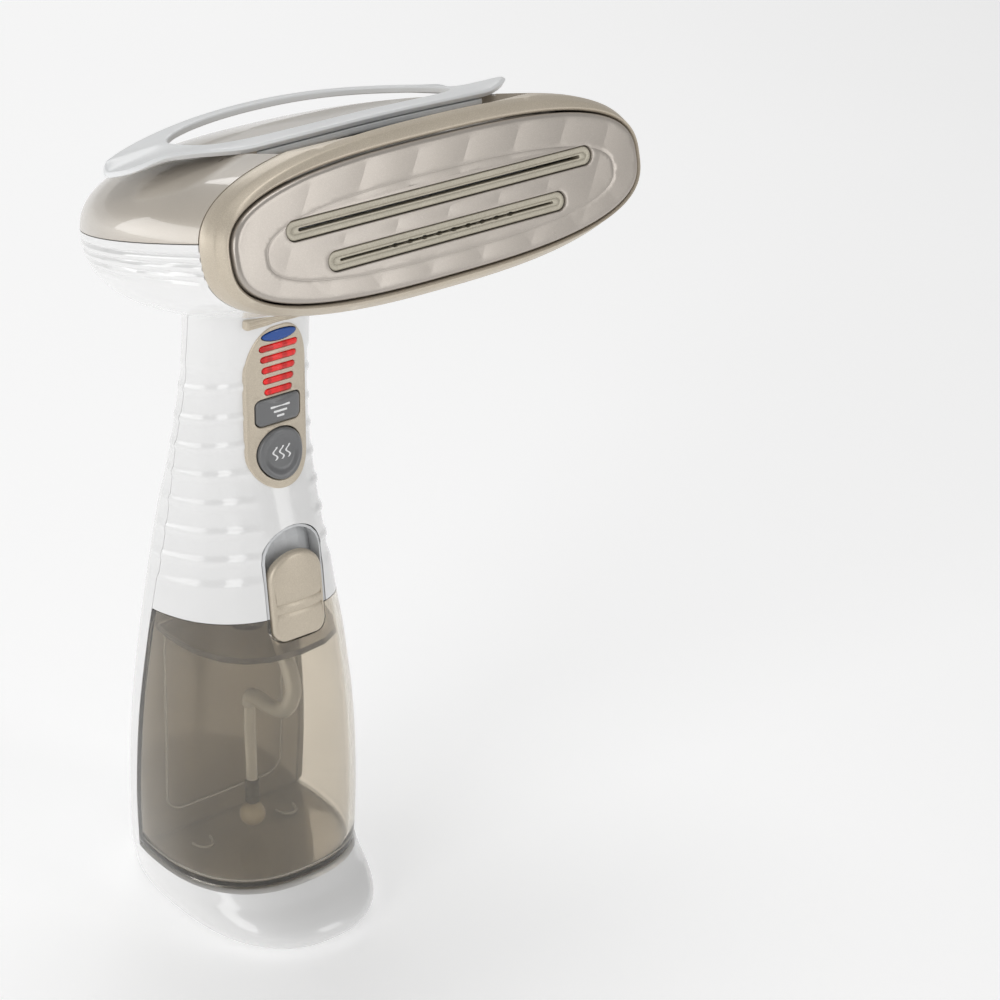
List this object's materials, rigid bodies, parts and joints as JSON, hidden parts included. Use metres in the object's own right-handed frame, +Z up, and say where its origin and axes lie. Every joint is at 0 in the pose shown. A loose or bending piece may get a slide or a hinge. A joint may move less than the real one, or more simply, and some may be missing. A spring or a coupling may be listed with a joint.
{
  "type": "handheld garment steamer",
  "caption": "Handheld garment steamer: wide oval steam head, slim ribbed grip with control panel, clear lift-out water tank and a standing foot.",
  "frame": {"origin": "centre of the flat pad that the steamer stands on, at its lower face", "axes": "+Z up the grip, -Y the way the steam plate faces, X across the plate (the object is symmetric in X)"},
  "size_m": [0.158, 0.1659, 0.3178],
  "materials": {
    "gloss_white": "gloss",
    "champagne_gloss": "high gloss",
    "champagne_metallic": "fine metallic flake",
    "pearl_plate": "pearl ceramic coating",
    "slot_insert": "fine metallic flake",
    "cast_aluminium": "as cast",
    "steel": "plain",
    "copper": "enamelled copper wire",
    "ceramic": "matt ceramic",
    "dark_rubber": "matt",
    "frame_grey": "satin",
    "soft_pad": "short pile",
    "dark_plastic": "matt",
    "button_grey": "satin",
    "pale_plastic": "satin",
    "red_light": "translucent",
    "blue_lens": "translucent",
    "board_green": "solder mask",
    "silicone": "translucent silicone",
    "smoke_clear": "clear smoked plastic",
    "smoke_lid": "clear smoked plastic",
    "olive_sleeve": "matt",
    "beige_ball": "satin",
    "lead_grey": "matt"
  },
  "bodies": {
    "housing": {"back_housing": "gloss_white", "base_pad": "dark_rubber", "base_plate": "gloss_white", "base_screw_left": "steel", "base_screw_right": "steel", "bezel": "champagne_metallic", "boiler": "cast_aluminium", "boiler_cover": "cast_aluminium", "boiler_feed_tube": "silicone", "circuit_board": "board_green", "control_panel": "champagne_metallic", "cord_gland": "dark_rubber", "grip_floor": "gloss_white", "grip_front_shell": "gloss_white", "head_cover": "champagne_gloss", "head_lower_shell": "gloss_white", "heat_shield": "cast_aluminium", "heater_lead": "lead_grey", "heating_element": "steel", "housing_screw_lower": "steel", "housing_screw_upper": "steel", "latch_spring": "steel", "latch_well": "pale_plastic", "level_light_guide": "red_light", "lower_steam_insert": "slot_insert", "mains_lead": "lead_grey", "neck_collar": "champagne_metallic", "plate_gasket": "dark_rubber", "pump_body": "pale_plastic", "pump_cap": "pale_plastic", "pump_coil": "copper", "pump_inlet_tube": "silicone", "pump_inlet_valve": "silicone", "pump_spring": "steel", "ready_lens": "blue_lens", "setting_switch": "dark_plastic", "soleplate": "pearl_plate", "spine_cover": "gloss_white", "steam_switch": "dark_plastic", "thermal_fuse": "steel", "thermostat": "ceramic", "upper_steam_insert": "slot_insert"},
    "tank": {"water_tank": "smoke_clear", "tank_lid": "smoke_lid", "fill_plug": "dark_rubber", "outlet_seal": "dark_rubber", "suction_elbow": "silicone", "suction_hose": "silicone", "hose_sleeve": "olive_sleeve", "hose_ball": "beige_ball"},
    "attachment": {"attachment_frame": "frame_grey", "attachment_pad": "soft_pad", "attachment_clip": "dark_plastic"},
    "latch": {"tank_latch": "champagne_metallic"},
    "steam_key": {"steam_button": "button_grey"},
    "setting_key": {"setting_button": "button_grey"},
    "plunger": {"pump_plunger": "steel"}
  },
  "joints": [
    {"name": "tank_pull_out", "type": "slide", "parent": "housing", "child": "tank", "axis": [0, -1, 0], "range_m": [0, 0.12]},
    {"name": "attachment_lift_off", "type": "slide", "parent": "housing", "child": "attachment", "axis": [0, 0.2538, 0.9673], "range_m": [0, 0.08]},
    {"name": "latch_lift", "type": "slide", "parent": "housing", "child": "latch", "axis": [0, 0.0999, 0.995], "range_m": [0, 0.007], "stiffness_N_per_m": 150, "springref_m": -0.002, "deforming": ["latch_spring"]},
    {"name": "steam_press", "type": "slide", "parent": "housing", "child": "steam_key", "axis": [0, 1, 0], "range_m": [0, 0.0012], "stiffness_N_per_m": 600, "springref_m": -0.0004},
    {"name": "setting_press", "type": "slide", "parent": "housing", "child": "setting_key", "axis": [0, 1, 0], "range_m": [0, 0.0012], "stiffness_N_per_m": 600, "springref_m": -0.0004},
    {"name": "pump_stroke", "type": "slide", "parent": "housing", "child": "plunger", "axis": [0, 0, 1], "range_m": [0, 0.003], "stiffness_N_per_m": 120, "springref_m": -0.001, "deforming": ["pump_spring"]}
  ]
}
